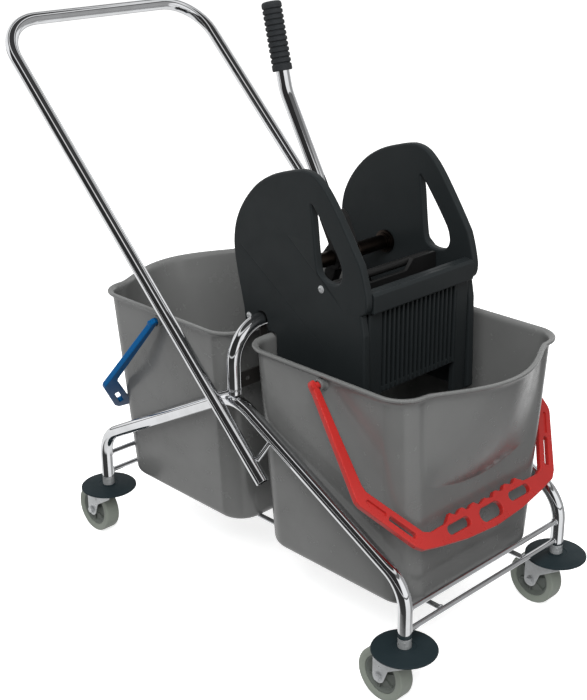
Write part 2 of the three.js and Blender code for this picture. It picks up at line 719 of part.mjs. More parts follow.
export default group;
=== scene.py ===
"""Looks for the twin-bucket mop trolley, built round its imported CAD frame.

Sizes are millimetres about the trolley's centre, +X to the front bucket and +Z up. A mesh is made in metres
in the row frame, which is the same frame moved along X by centre_x.
"""
import math

import bmesh
import bpy
from mathutils import Matrix, Vector, geometry

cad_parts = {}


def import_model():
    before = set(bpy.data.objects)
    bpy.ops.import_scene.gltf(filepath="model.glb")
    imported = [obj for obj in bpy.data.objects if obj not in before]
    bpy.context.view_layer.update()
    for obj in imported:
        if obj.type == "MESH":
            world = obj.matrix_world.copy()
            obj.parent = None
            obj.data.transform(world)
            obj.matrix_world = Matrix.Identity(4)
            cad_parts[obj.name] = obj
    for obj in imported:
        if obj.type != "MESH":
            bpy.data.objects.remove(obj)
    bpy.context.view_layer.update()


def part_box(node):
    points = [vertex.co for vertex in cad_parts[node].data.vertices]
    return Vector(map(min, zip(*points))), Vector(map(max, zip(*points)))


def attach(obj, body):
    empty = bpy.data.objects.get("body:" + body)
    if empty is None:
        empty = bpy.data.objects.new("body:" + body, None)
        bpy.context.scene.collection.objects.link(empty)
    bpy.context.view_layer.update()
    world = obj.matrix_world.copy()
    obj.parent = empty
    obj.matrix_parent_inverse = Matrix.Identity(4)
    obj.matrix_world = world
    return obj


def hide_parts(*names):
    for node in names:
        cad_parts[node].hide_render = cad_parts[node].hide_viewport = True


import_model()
centre_x = (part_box("cross_rod_lower_rear")[0].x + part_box("cross_rod_lower_front")[1].x) / 2
MM = 0.001
SIDES = (("right", -1), ("left", 1))
ENDS = (("rear", -1), ("front", 1))

# ---- sizes: the CAD's, but for a slightly slimmer handle tube and thinner bails ----
TUBE, HANDLE_TUBE, TUBE_BORE, ROD = 10, 9.8, 8.5, 4
CASTER_X, CASTER_Y, TRAIL, WHEEL, TREAD = 332, 173, 33, 40, 25
RAIL_FOOT, RAIL_SHOULDER, RAIL_PEAK, LEG_BEND, PEAK_BEND = 112.3, 187.4, 362.9, 59, 70
ARCH_FOOT, ARCH_TOP, ARCH_BEND = 372.6, 465, 55
HANDLE_Y, HANDLE_LOW, HANDLE_TOP, HANDLE_BEND = 199, (84.8, 262), (-510, 844.3), 73
CROSS_LOW, CROSS_HIGH, CROSS_REACH, BASE_Y, BASE_REACH = 119, 152, 162.6, 94, 327.6
FLOOR, RIM, LIP_DROP, WALL = 123.4, 447.5, 10, 3
SPOUT_OUT, SPOUT_HALF, SPOUT_FOOT = 45, 128, 286
PIVOT_X, PIVOT_Z, BAIL_HANG, BAIL_BACK, BAIL_FRONT, BOSS_OUT = 173, 431, 39.3, 6, 3.2, 176.6
CHEEK_IN, CHEEK_OUT = 104.5, 117.5
SHAFT_X, SHAFT_Z, SHAFT_R = 38.2, 541.3, 11
REAR_TIE, FRONT_TIE = (-26.4, 463, 5.5), (121, 538.5, 6)
LEVER_OFFSET, LEVER_TILT, GRIP_TILT, LEVER_BEND = 19.4, 29.3, 13.2, (-66.4, 767.9)
GRIP_LENGTH, GRIP_R, GRIP_RIBS = 98, 14.6, 11


# ---- mesh helpers ----
def new_piece(name, points, faces, sharp=32):
    """A mesh object from points in millimetres about the trolley's centre, smooth but for its sharp edges."""
    mesh = bpy.data.meshes.new(name)
    mesh.from_pydata([(x * MM + centre_x, y * MM, z * MM) for x, y, z in points], [], faces)
    work = bmesh.new()
    work.from_mesh(mesh)
    bmesh.ops.remove_doubles(work, verts=work.verts, dist=2e-6)
    bmesh.ops.recalc_face_normals(work, faces=work.faces)
    work.to_mesh(mesh)
    work.free()
    mesh.shade_smooth()
    mesh.set_sharp_from_angle(angle=math.radians(sharp))
    piece = bpy.data.objects.new(name, mesh)
    bpy.context.scene.collection.objects.link(piece)
    flatten = piece.modifiers.new("flat_faces", "WEIGHTED_NORMAL")
    flatten.keep_sharp = True
    return piece


def merged(name, parts, sharp=32):
    """One piece from several (points, faces) lists."""
    points, faces = [], []
    for part_points, part_faces in parts:
        base = len(points)
        points += part_points
        faces += [[base + i for i in face] for face in part_faces]
    return new_piece(name, points, faces, sharp)


def arc(cx, cy, r, start, end, steps):
    """Points on an arc, in degrees."""
    angles = [math.radians(start + (end - start) * i / steps) for i in range(steps + 1)]
    return [(cx + r * math.cos(a), cy + r * math.sin(a)) for a in angles]


def mix(a, b, t):
    return a + (b - a) * t


def rounded(points, radius, steps=4, closed=True):
    """A 2-D polyline with its corners rounded, by less where the sides are short."""
    out = []
    count = len(points)
    for i, corner in enumerate(points):
        if not closed and i in (0, count - 1):
            out.append(tuple(corner))
            continue
        here = Vector(corner)
        before = Vector(points[i - 1]) - here
        after = Vector(points[(i + 1) % count]) - here
        turn = math.pi - before.angle(after, math.pi)
        if turn < math.radians(8):
            out.append(tuple(here))
            continue
        reach = min(radius * math.tan(turn / 2), 0.45 * before.length, 0.45 * after.length)
        start, end = here + before.normalized() * reach, here + after.normalized() * reach
        for k in range(steps + 1):
            t = k / steps
            out.append(tuple(start * (1 - t) ** 2 + here * 2 * t * (1 - t) + end * t * t))
    return out


def curve_through(points, steps=5, closed=False):
    """A smooth line through 2-D points."""
    count = len(points)
    spans = range(count if closed else count - 1)
    out = []
    for i in spans:
        def at(k):
            return Vector(points[k % count] if closed else points[max(0, min(count - 1, k))])
        a, b, c, d = at(i - 1), at(i), at(i + 1), at(i + 2)
        for k in range(steps):
            t = k / steps
            out.append(tuple(0.5 * (2 * b + (c - a) * t + (2 * a - 5 * b + 4 * c - d) * t ** 2
                                    + (3 * b - a - 3 * c + d) * t ** 3)))
    if not closed:
        out.append(tuple(points[-1]))
    return out


def bent_line(corners, bends, steps=16):
    """Points and headings along a line whose corners are true arcs."""
    spots = [Vector(c) for c in corners]
    headings = [(b - a).normalized() for a, b in zip(spots, spots[1:])]
    line = [(spots[0], headings[0])]
    for corner, radius, before, after in zip(spots[1:], bends, headings, headings[1:]):
        angle = before.angle(after)
        start = corner - before * radius * math.tan(angle / 2)
        inward = (after - before * math.cos(angle)).normalized()
        for k in range(steps + 1):
            a = angle * k / steps
            spot = start + before * radius * math.sin(a) + inward * radius * (1 - math.cos(a))
            line.append((spot, before * math.cos(a) + inward * math.sin(a)))
    line.append((spots[-1], headings[-1]))
    return line


def ring_skin(rings, ends=True):
    """Points and faces of a skin through rings of equal count, closed by a face at each end."""
    count = len(rings[0])
    points = [tuple(p) for ring in rings for p in ring]
    faces = []
    for k in range(len(rings) - 1):
        for i in range(count):
            j = (i + 1) % count
            faces.append([k * count + i, k * count + j, (k + 1) * count + j, (k + 1) * count + i])
    if ends:
        faces.append(list(range(count))[::-1])
        faces.append([(len(rings) - 1) * count + i for i in range(count)])
    return points, faces


def bar(line, radius, bore=0, sides=36, edge=0.5):
    """A round bar along a line of (point, heading), or a tube if it has a bore, with softened ends."""
    way = line[0][1]
    side = way.orthogonal().normalized()
    stations = []
    for spot, heading in line:
        side = way.rotation_difference(heading) @ side
        way = heading
        stations.append((spot, heading, side.copy()))

    def ring(station, r, along=0):
        spot, heading, across = station
        up = heading.cross(across)
        turns = [2 * math.pi * i / sides for i in range(sides)]
        return [spot + heading * along + (across * math.cos(a) + up * math.sin(a)) * r for a in turns]

    first, last = stations[0], stations[-1]
    rings = [ring(first, radius - edge)]
    rings += [ring(first, radius - 0.3 * edge, 0.3 * edge), ring(first, radius, edge)]
    rings += [ring(s, radius) for s in stations[1:-1]]
    rings += [ring(last, radius, -edge), ring(last, radius - 0.3 * edge, -0.3 * edge)]
    rings += [ring(last, radius - edge)]
    if not bore:
        return ring_skin(rings)
    rings += [ring(last, bore), *[ring(s, bore) for s in stations[-2:0:-1]], ring(first, bore)]
    points, faces = ring_skin(rings, ends=False)
    top = len(rings) - 1
    for i in range(sides):
        j = (i + 1) % sides
        faces.append([top * sides + i, top * sides + j, j, i])
    return points, faces


def rod(start, end, radius, sides=24, edge=0.4):
    return bar(bent_line([start, end], []), radius, 0, sides, edge)


def turned(profile, centre, axis, sides=72, closed=False):
    """Pairs of (radius, along) revolved about an axis. They run from axis to axis, or close on themselves."""
    axis = Vector(axis).normalized()
    across = axis.orthogonal().normalized()
    up = axis.cross(across)
    centre = Vector(centre)
    points, rows = [], []
    for radius, along in profile:
        if radius < 1e-6:
            rows.append([len(points)] * sides)
            points.append(tuple(centre + axis * along))
            continue
        rows.append([len(points) + i for i in range(sides)])
        for i in range(sides):
            a = 2 * math.pi * i / sides
            points.append(tuple(centre + axis * along + (across * math.cos(a) + up * math.sin(a)) * radius))
    pairs = list(zip(rows, rows[1:])) + ([(rows[-1], rows[0])] if closed else [])
    faces = []
    for low, high in pairs:
        for i in range(sides):
            j = (i + 1) % sides
            face = list(dict.fromkeys([low[i], low[j], high[j], high[i]]))
            if len(face) > 2:
                faces.append(face)
    return points, faces


def inset(loop, distance):
    """A closed loop moved to its left, by mitred corners."""
    out = []
    count = len(loop)
    for i in range(count):
        before = (Vector(loop[i]) - Vector(loop[i - 1])).normalized()
        after = (Vector(loop[(i + 1) % count]) - Vector(loop[i])).normalized()
        left = Vector((-before.y - after.y, before.x + after.x))
        out.append(tuple(Vector(loop[i]) + left * (distance / max(1 + before.dot(after), 0.35))))
    return out


def facing(loop, direction):
    """The loop anticlockwise for direction 1, clockwise for -1, without repeated points."""
    clean = [p for i, p in enumerate(loop) if (Vector(p) - Vector(loop[i - 1])).length > 1e-4]
    area = sum(a[0] * b[1] - b[0] * a[1] for a, b in zip(clean, clean[1:] + clean[:1]))
    return clean if area * direction > 0 else clean[::-1]


def prism(outline, low, high, place, bevel=1.0, holes=(), pockets=(), low_pockets=(), steps=4):
    """Points and faces of a plate with rounded edges. Holes go through; pockets are (loop, depth, slope)."""
    loops = [facing(outline, 1)] + [facing(h, -1) for h in holes]
    points, faces = [], []

    def put(loop, level):
        points.extend(place(a, b, level) for a, b in loop)
        return list(range(len(points) - len(loop), len(points)))

    def join(lower, upper):
        for i in range(len(lower)):
            j = (i + 1) % len(lower)
            faces.append([lower[i], lower[j], upper[j], upper[i]])

    def cap(edge_loops, ids):
        flat = [i for row in ids for i in row]
        groups = [[Vector((a, b, 0)) for a, b in loop] for loop in edge_loops]
        faces.extend([flat[i] for i in tri] for tri in geometry.tessellate_polygon(groups))

    for sign, level, cuts in ((1, high, pockets), (-1, low, low_pockets)):
        rims, rim_ids, feet = [], [], []
        for loop in loops:
            rows = []
            for k in range(steps + 1):
                a = math.pi / 2 * k / steps
                edge = inset(loop, bevel * (1 - math.cos(a))) if bevel else loop
                rows.append((edge, put(edge, level - sign * bevel * (1 - math.sin(a)))))
                if not bevel:
                    break
            for (_, lower), (_, upper) in zip(rows, rows[1:]):
                join(lower, upper)
            feet.append(rows[0][1])
            rims.append(rows[-1][0])
            rim_ids.append(rows[-1][1])
        for pocket, depth, slope in cuts:
            mouth = facing(pocket, -1)
            bottom = inset(mouth, -slope)
            mouth_ids, bottom_ids = put(mouth, level), put(bottom, level - sign * depth)
            join(mouth_ids, bottom_ids)
            cap([bottom], [bottom_ids])
            rims.append(mouth)
            rim_ids.append(mouth_ids)
        cap(rims, rim_ids)
        if sign > 0:
            high_feet = feet
        else:
            for lower, upper in zip(feet, high_feet):
                join(lower, upper)
    return points, faces


def side_on(a, b, level):
    """Outline in (x, z), thickness along Y."""
    return (a, level, b)


def front_on(a, b, level):
    """Outline in (y, z), thickness along X."""
    return (level, a, b)


def from_above(a, b, level):
    """Outline in (x, y), thickness along Z."""
    return (a, b, level)


def block(x0, x1, y0, y1, z0, z1, bevel=0.8):
    return prism([(x0, z0), (x1, z0), (x1, z1), (x0, z1)], y0, y1, side_on, bevel, steps=3)


def backwards(part):
    """The same part turned half round the trolley's upright centre line."""
    points, faces = part
    return [(-x, -y, z) for x, y, z in points], faces


# ---- materials ----
def nodes_of(name):
    material = bpy.data.materials.new(name)
    material.use_nodes = True
    tree = material.node_tree
    shader = tree.nodes["Principled BSDF"]
    return material, tree, shader


def noise_at(tree, scale, detail=3, rough=0.55, stretch=None):
    """Noise in object space, drawn out along an axis by stretch."""
    spot = tree.nodes.new("ShaderNodeTexCoord").outputs["Object"]
    if stretch:
        mapping = tree.nodes.new("ShaderNodeMapping")
        mapping.inputs["Scale"].default_value = stretch
        tree.links.new(spot, mapping.inputs["Vector"])
        spot = mapping.outputs["Vector"]
    texture = tree.nodes.new("ShaderNodeTexNoise")
    texture.inputs["Scale"].default_value = scale
    texture.inputs["Detail"].default_value = detail
    texture.inputs["Roughness"].default_value = rough
    tree.links.new(spot, texture.inputs["Vector"])
    return texture.outputs["Fac"]


def ranged(tree, value, low, high, start, end):
    node = tree.nodes.new("ShaderNodeMapRange")
    for socket, number in (("From Min", low), ("From Max", high), ("To Min", start), ("To Max", end)):
        node.inputs[socket].default_value = number
    tree.links.new(value, node.inputs["Value"])
    return node.outputs["Result"]


def two_tone(tree, factor, first, second):
    node = tree.nodes.new("ShaderNodeMix")
    node.data_type = "RGBA"
    tree.links.new(factor, node.inputs["Factor"])
    for socket, value in (("A", first), ("B", second)):
        target = next(s for s in node.inputs if s.name == socket and s.type == "RGBA")
        if isinstance(value, tuple):
            target.default_value = (*value, 1)
        else:
            tree.links.new(value, target)
    return next(s for s in node.outputs if s.type == "RGBA")


def bumped(tree, shader, heights):
    """Chains bumps of (height, strength, distance in metres) into the shader's normal."""
    normal = None
    for height, strength, distance in heights:
        bump = tree.nodes.new("ShaderNodeBump")
        bump.inputs["Strength"].default_value = strength
        bump.inputs["Distance"].default_value = distance
        tree.links.new(height, bump.inputs["Height"])
        if normal:
            tree.links.new(normal, bump.inputs["Normal"])
        normal = bump.outputs["Normal"]
    tree.links.new(normal, shader.inputs["Normal"])


def shade(colour, factor):
    return tuple(c * factor for c in colour)


def mixed(a, b, t):
    return tuple(mix(x, y, t) for x, y in zip(a, b))


def moulded(name, colour, rough, grain=1400, depth=0.00006, scuff=0.35, dust=(0.5, 0.5, 0.48), specular=0.5):
    """Injection-moulded plastic or rubber: flow mottle, fine grain, hairline scuffs and a little dust."""
    material, tree, shader = nodes_of(name)
    flow = ranged(tree, noise_at(tree, 9, 4), 0.35, 0.65, 0, 1)
    base = two_tone(tree, flow, shade(colour, 0.94), shade(colour, 1.06))
    speck = ranged(tree, noise_at(tree, 420, 2), 0.66, 0.76, 0, 0.07)
    base = two_tone(tree, speck, base, mixed(colour, dust, 0.35))
    hair = ranged(tree, noise_at(tree, 16, 5, 0.7, (1, 1, 14)), 0.68, 0.73, 0, scuff)
    base = two_tone(tree, hair, base, mixed(colour, dust, 0.3))
    tree.links.new(base, shader.inputs["Base Color"])
    gloss = ranged(tree, noise_at(tree, 34, 5, 0.62), 0.3, 0.7, rough - 0.06, rough + 0.09)
    tree.links.new(gloss, shader.inputs["Roughness"])
    shader.inputs["Specular IOR Level"].default_value = specular
    bumped(tree, shader, [(noise_at(tree, grain, 2), 0.35, depth), (noise_at(tree, 22, 2), 0.2, 0.0004)])
    return material


def metal(name, colour, rough, spread, grain, depth, tarnish, streak=None, cells=0, metallic=1):
    """Plated or oxidised metal: uneven polish, faint tarnish and fine drawn marks."""
    material, tree, shader = nodes_of(name)
    shader.inputs["Metallic"].default_value = metallic
    cloud = ranged(tree, noise_at(tree, 26, 5, 0.6), 0.38, 0.68, 0, 1)
    base = two_tone(tree, cloud, colour, tarnish)
    if cells:
        spot = tree.nodes.new("ShaderNodeTexCoord").outputs["Object"]
        flakes = tree.nodes.new("ShaderNodeTexVoronoi")
        flakes.inputs["Scale"].default_value = cells
        tree.links.new(spot, flakes.inputs["Vector"])
        tint = ranged(tree, flakes.outputs["Distance"], 0, 0.8, 0, 0.35)
        base = two_tone(tree, tint, base, shade(colour, 0.7))
    tree.links.new(base, shader.inputs["Base Color"])
    polish = ranged(tree, noise_at(tree, 90, 4, 0.65, streak), 0.35, 0.7, rough, rough + spread)
    tree.links.new(polish, shader.inputs["Roughness"])
    bumped(tree, shader, [(noise_at(tree, grain, 3, 0.6, streak), 0.3, depth)])
    return material


DUST = (0.42, 0.41, 0.38)
finishes = {
    "chrome_tube": metal("chrome_tube", (0.80, 0.81, 0.83), 0.03, 0.05, 260, 0.00004, (0.70, 0.71, 0.72)),
    "zinc_steel": metal("zinc_steel", (0.62, 0.64, 0.65), 0.26, 0.16, 700, 0.00005, (0.50, 0.51, 0.51),
                        cells=260, metallic=0.6),
    "shaft_steel": metal("shaft_steel", (0.060, 0.046, 0.038), 0.34, 0.18, 900, 0.00008,
                         (0.035, 0.026, 0.021)),
    "black_steel": moulded("black_steel", (0.016, 0.015, 0.014), 0.34, 500, 0.00008, 0.3, DUST),
    "disc_rubber": moulded("disc_rubber", (0.0115, 0.0195, 0.0230), 0.55, 900, 0.00008, 0.2, DUST, 0.2),
    "tyre_grey": moulded("tyre_grey", (0.215, 0.238, 0.205), 0.52, 700, 0.00012, 0.3,
                         (0.12, 0.12, 0.11)),
    "hub_plastic": moulded("hub_plastic", (0.105, 0.118, 0.106), 0.5, 900, 0.00008, 0.25, DUST),
    "bucket_grey": moulded("bucket_grey", (0.126, 0.128, 0.126), 0.21, 1500, 0.00003, 0.04,
                           (0.19, 0.19, 0.185)),
    "bail_red": moulded("bail_red", (0.365, 0.019, 0.016), 0.30, 1300, 0.00005, 0.2,
                        (0.55, 0.16, 0.14), 0.4),
    "bail_blue": moulded("bail_blue", (0.0004, 0.080, 0.235), 0.36, 1300, 0.00005, 0.1,
                         (0.01, 0.12, 0.28), 0.12),
    "wringer_black": moulded("wringer_black", (0.0128, 0.0155, 0.0165), 0.42, 1200, 0.00006, 0.2,
                             (0.06, 0.06, 0.06), 0.22),
    "hub_black": moulded("hub_black", (0.009, 0.009, 0.009), 0.42, 1200, 0.00009, 0.3,
                         (0.07, 0.07, 0.07), 0.35),
    "grip_rubber": moulded("grip_rubber", (0.019, 0.021, 0.023), 0.62, 1000, 0.0001, 0.2, DUST, 0.3),
}


def dress(piece, body, finish, *nodes):
    """Paints a piece, sets it riding on its body, and hides the CAD nodes it stands for."""
    piece.data.materials.append(finishes[finish])
    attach(piece, body)
    if nodes:
        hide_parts(*nodes)
    return piece


# ---- frame tubes and rods ----
def weld(centre, axis, radius, fat=1.7):
    """A small uneven bead of weld round a joint."""
    around, across = 40, 10
    axis = Vector(axis).normalized()
    side = axis.orthogonal().normalized()
    up = axis.cross(side)
    rings = []
    for i in range(around):
        a = 2 * math.pi * i / around
        ripple = 1 + 0.14 * math.sin(a * 9 + centre[0]) + 0.08 * math.sin(a * 17)
        out = side * math.cos(a) + up * math.sin(a)
        rings.append([
            Vector(centre) + out * (radius + fat * ripple * math.cos(b)) + axis * fat * ripple * math.sin(b)
            for b in [2 * math.pi * k / across for k in range(across)]])
    rings.append(rings[0])
    return ring_skin(rings, ends=False)


def tubes():
    for side, s in SIDES:
        y = s * CASTER_Y
        corners = [(-CASTER_X, y, RAIL_FOOT), (-CASTER_X, y, RAIL_SHOULDER), (0, y, RAIL_PEAK),
                   (CASTER_X, y, RAIL_SHOULDER), (CASTER_X, y, RAIL_FOOT)]
        line = bent_line(corners, [LEG_BEND, PEAK_BEND, LEG_BEND])
        rail = merged(f"rail_tube_{side}", [bar(line, TUBE, TUBE_BORE)])
        dress(rail, "frame", "chrome_tube", f"side_rail_{side}")
    y = CASTER_Y
    line = bent_line([(0, -y, ARCH_FOOT - 8), (0, -y, ARCH_TOP), (0, y, ARCH_TOP), (0, y, ARCH_FOOT - 8)],
                     [ARCH_BEND, ARCH_BEND])
    dress(merged("arch_tube", [bar(line, TUBE)]), "frame", "chrome_tube", "wringer_arch")
    (x0, z0), (x1, z1) = HANDLE_LOW, HANDLE_TOP
    y = HANDLE_Y
    line = bent_line([(x0, -y, z0), (x1, -y, z1), (x1, y, z1), (x0, y, z0)], [HANDLE_BEND, HANDLE_BEND])
    handle = merged("handle_tube", [bar(line, HANDLE_TUBE, TUBE_BORE, 44)])
    dress(handle, "frame", "chrome_tube", "push_handle")


def rods():
    beads = []
    for end, e in ENDS:
        x = e * CASTER_X
        for level, z in (("lower", CROSS_LOW), ("upper", CROSS_HIGH)):
            part = rod((x, -CROSS_REACH - 1.5, z), (x, CROSS_REACH + 1.5, z), ROD)
            piece = merged(f"cross_rod_{end}_{level}", [part])
            dress(piece, "frame", "chrome_tube", f"cross_rod_{level}_{end}")
            beads += [weld((x, s * (CROSS_REACH + 0.9), z), (0, 1, 0), ROD) for _, s in SIDES]
        beads += [weld((e * (BASE_REACH + 0.2), s * BASE_Y, CROSS_LOW), (1, 0, 0), ROD, 1.4)
                  for _, s in SIDES]
    for side, s in SIDES:
        part = rod((-BASE_REACH, s * BASE_Y, CROSS_LOW), (BASE_REACH, s * BASE_Y, CROSS_LOW), ROD)
        dress(merged(f"base_bar_{side}", [part]), "frame", "chrome_tube", f"base_rod_{side}")
        upper = rod((-15, s * (HANDLE_Y - 6), 365.5), (-4, s * (CASTER_Y + 6), 369.5), ROD)
        lower = rod((65, s * (HANDLE_Y - 6), 285.5), (78, s * (CASTER_Y + 5), 314), ROD)
        for level, part in (("upper", upper), ("lower", lower)):
            dress(merged(f"handle_pin_{level}_{side}", [part]), "frame", "chrome_tube", f"{level}_pin_{side}")
        beads.append(weld((0, s * CASTER_Y, ARCH_FOOT), (0, 0, 1), TUBE - 1.2, 2.1))
    dress(merged("weld_beads", beads, 60), "frame", "chrome_tube")


def cross_bar():
    h, y0, y1 = CROSS_REACH, 108, 121
    outline = [(-h, 370), (h, 370), (h, 394), (y1, 394), (y1, 454.2), (y0, 454.2), (y0, 394),
               (-y0, 394), (-y0, 454.2), (-y1, 454.2), (-y1, 394), (-h, 394)]
    holes = [arc(s * 148, 382, 3.2, 0, 345, 23) for _, s in SIDES]
    part = prism(rounded(outline, 3), -1.5, 1.5, front_on, 0.5, holes)
    dress(merged("strap_bar", [part]), "frame", "black_steel", "arch_cross_bar")


# ---- casters ----
def caster(tag, x, y):
    sleeve = rounded([(0, 97.3), (9.6, 97.3), (9.6, 112), (7.6, 112), (7.6, 113.5), (0, 113.5)], 0.5,
                     closed=False)
    ridge = [(9.45, 101.2), (9.75, 101.6), (9.75, 102.6), (9.45, 103)]
    head = rounded([(0, 0), (1.7, 0), (1.5, 0.8), (0, 1.1)], 0.3, closed=False)
    stud = turned(head, (x + 6.3, y - 7.2, 107.5), (0.66, -0.75, 0), 20)
    stem = [turned(sleeve, (x, y, 0), (0, 0, 1)), turned(ridge, (x, y, 0), (0, 0, 1), closed=True), stud]
    dress(merged(f"collar_{tag}", stem), "frame", "zinc_steel", f"caster_stem_{tag}")

    body, wheel = f"caster_{tag}", f"wheel_{tag}"
    dome = [(6.2, 91.3), (44.6, 91.3), (46, 92.4), (46, 93.4), (44.8, 94.5)]
    dome += [(mix(43.5, 20, k / 10), 94.6 + 2.2 * math.sin(math.pi / 2 * k / 10)) for k in range(11)]
    dome += [(17, 97), (16.4, 96.3), (12.5, 96.3), (12, 97), (10.4, 97), (6.2, 97)]
    disc = turned(dome, (x, y, 0), (0, 0, 1), 120, closed=True)
    dress(merged(f"disc_{tag}", [disc]), body, "disc_rubber", f"bumper_disc_{tag}")

    ax, az = x - TRAIL, WHEEL
    cheek = [*arc(ax, az, 10.5, 185, 345, 14), (x - 16, 55), (x + 17, 76), (x + 19, 80), (x + 19, 86.6),
             (x - 43, 86.6)]
    plates = []
    for s in (-1, 1):
        low, high = sorted((s * 13.4 + y, s * 15.8 + y))
        plates.append(prism(rounded(cheek, 4, 5), low, high, side_on, 0.7, [arc(ax, az, 4.4, 0, 345, 23)]))
        rib = [(x - 21, 62), (x - 18.6, 62), (x - 18.6, 84), (x - 21, 84)]
        out = sorted((s * 15.6 + y, s * 16.5 + y))
        plates.append(prism(rounded(rib, 1), *out, side_on, 0.4))
    crown = rounded([(x - 43, y - 15.6), (x + 19, y - 15.6), (x + 19, y + 15.6), (x - 43, y + 15.6)], 3)
    plates.append(prism(crown, 84, 87, from_above, 0.8))
    race = rounded([(6.3, 83), (17, 83), (17.4, 86), (16.4, 88.4), (17, 90.8), (6.3, 90.8)], 0.9)
    plates.append(turned(race, (x, y, 0), (0, 0, 1), closed=True))
    dress(merged(f"fork_{tag}", plates), body, "zinc_steel", f"caster_fork_{tag}")

    bolt = rounded([(0, -16.2), (6.6, -16.2), (6.6, -16.9), (0, -16.9)], 0.2, closed=False)
    flange = turned(bolt, (ax, y, az), (0, 1, 0), 40)
    head = prism(arc(ax, az, 5.6, 0, 300, 5), y - 20.4, y - 16.8, side_on, 0.6)
    nut = prism(arc(ax, az, 6.2, 15, 315, 5), y + 16.1, y + 20.3, side_on, 0.6)
    pin = turned(rounded([(0, -16.5), (4.1, -16.5), (4.1, 20.8), (0, 20.8)], 0.5, closed=False),
                 (ax, y, az), (0, 1, 0), 32)
    dress(merged(f"axle_{tag}", [flange, head, nut, pin]), body, "zinc_steel", f"axle_bolt_{tag}")

    half = TREAD / 2
    tread = [(28.5, 1.5 - half), (33.5, -half), *arc(35, 3.2 - half, 5, 270, 360, 8)]
    tread += [(40, 0), *arc(35, half - 3.2, 5, 0, 90, 8), (33.5, half), (28.5, half - 1.5)]
    tread = [(r, a) if abs(a) <= half else (r, math.copysign(half, a)) for r, a in tread]
    tyre = turned(tread, (ax, y, az), (0, 1, 0), 120, closed=True)
    dress(merged(f"tread_{tag}", [tyre]), wheel, "tyre_grey", f"tyre_{tag}")
    disc = [(4.6, -12.9), (8.6, -12.9), (9.6, -12), (10.4, -7), (22.5, -5.6), (26.4, -10.2), (28.4, -10.4),
            (28.4, 10.4), (26.4, 10.2), (22.5, 5.6), (10.4, 7), (9.6, 12), (8.6, 12.9), (4.6, 12.9)]
    hub = [turned(rounded(disc, 1.2, 3), (ax, y, az), (0, 1, 0), 96, closed=True)]
    for s in (-1, 1):
        for k in range(6):
            a = math.radians(60 * k + 20)
            way, off = Vector((math.cos(a), math.sin(a))), Vector((-math.sin(a), math.cos(a))) * 1.1
            root, tip = Vector((ax, az)) + way * 9, Vector((ax, az)) + way * 25
            spoke = [tuple(p) for p in (root - off, tip - off, tip + off, root + off)]
            low, high = sorted((s * 5 + y, s * 8.6 + y))
            hub.append(prism(spoke, low, high, side_on, 0.5, steps=2))
    dress(merged(f"hub_{tag}", hub), wheel, "hub_plastic", f"wheel_hub_{tag}")


# ---- buckets ----
def bucket_ring(z, off):
    """One ring of the bucket at height z, grown outwards by off."""
    u = min((z - FLOOR) / (RIM - LIP_DROP - FLOOR), 1)
    inner, outer, half = mix(27, 23, u) - off, mix(309.5, 316, u) + off, mix(146.5, 167.2, u) + off
    r = max(mix(42, 36, u) + off, 6)
    ring = []
    corners = ((inner + r, half - r, 90), (inner + r, r - half, 180), (outer - r, r - half, 270))
    for cx, cy, start in corners:
        ring += arc(cx, cy, r, start, start + 90, 12)
    steps = 64
    for i in range(1, steps):
        y = mix(r - half, half - r, i / steps)
        near = min(abs(y) / SPOUT_HALF, 1)
        foot = SPOUT_FOOT + 20 * (min(abs(y), 120) / 110) ** 2
        share = max(0, min((z - foot) / (RIM - foot), 1)) ** 0.8
        ring.append((outer + share * SPOUT_OUT * (1 - near * near) ** 1.35, y))
    ring += arc(outer - r, half - r, r, 0, 90, 12)
    return [(x, y, z) for x, y in ring]


def bucket_parts():
    """The skin, by rings of (height, offset) from foot to rim and down inside, then the two bosses."""
    walls = [140, 155, 175, 200, 225, 250, 268, 278, *range(283, 316, 2), *range(318, 345, 6),
             *range(350, 432, 10)]
    foot = [(FLOOR + 2.5, -34), (FLOOR + 2.5, -24), (FLOOR + 1, -21), (FLOOR, -19.5), (FLOOR, -13)]
    foot += [(FLOOR + 13 * (1 - math.cos(a)), -13 * (1 - math.sin(a)))
             for a in [math.pi / 2 * k / 7 for k in range(1, 8)]]
    # the rim's section: how far below the top, then how far out from the wall
    flare = [(14, 0), (10.5, 0.5), (8, 1.5), (6.2, 3.2), (5.2, 5.2), (4.6, 7), (3.8, 7.7), (2.6, 8),
             (1.2, 7.8), (0.3, 6.9), (0, 5.6), (0.1, 3.4), (0.7, 1.2), (1.9, -0.6), (3.6, -1.9), (6, -2.7),
             (9.5, -3)]
    rim = [(RIM - down, off) for down, off in flare]
    inside = [(z, -WALL) for z in walls[::-1]]
    inside += [(FLOOR + WALL + 11 * (1 - math.cos(a)), -WALL - 11 * (1 - math.sin(a)))
               for a in [math.pi / 2 * k / 6 for k in range(6, -1, -1)]]
    inside += [(FLOOR + WALL, -26)]
    levels = foot + [(z, 0) for z in walls] + rim + inside
    parts = [ring_skin([bucket_ring(z, off) for z, off in levels])]
    for _, s in SIDES:
        boss = [(0, -2.5), (10.4, -2.5), (10.2, -0.6), (8.8, 1.4), (8.4, 3), (8.4, 8.4), (7.8, 9.1), (6, 9.1),
                (5.5, 8.6), (5.5, 1.2), (0, 1.2)]
        parts.append(turned(boss, (PIVOT_X, s * (BOSS_OUT - 9.1), PIVOT_Z), (0, s, 0), 48))
    return parts


def buckets():
    parts = bucket_parts()
    dress(merged("bucket_front", parts), "front_bucket", "bucket_grey", "front_bucket")
    dress(merged("bucket_rear", [backwards(p) for p in parts]), "frame", "bucket_grey", "rear_bucket")


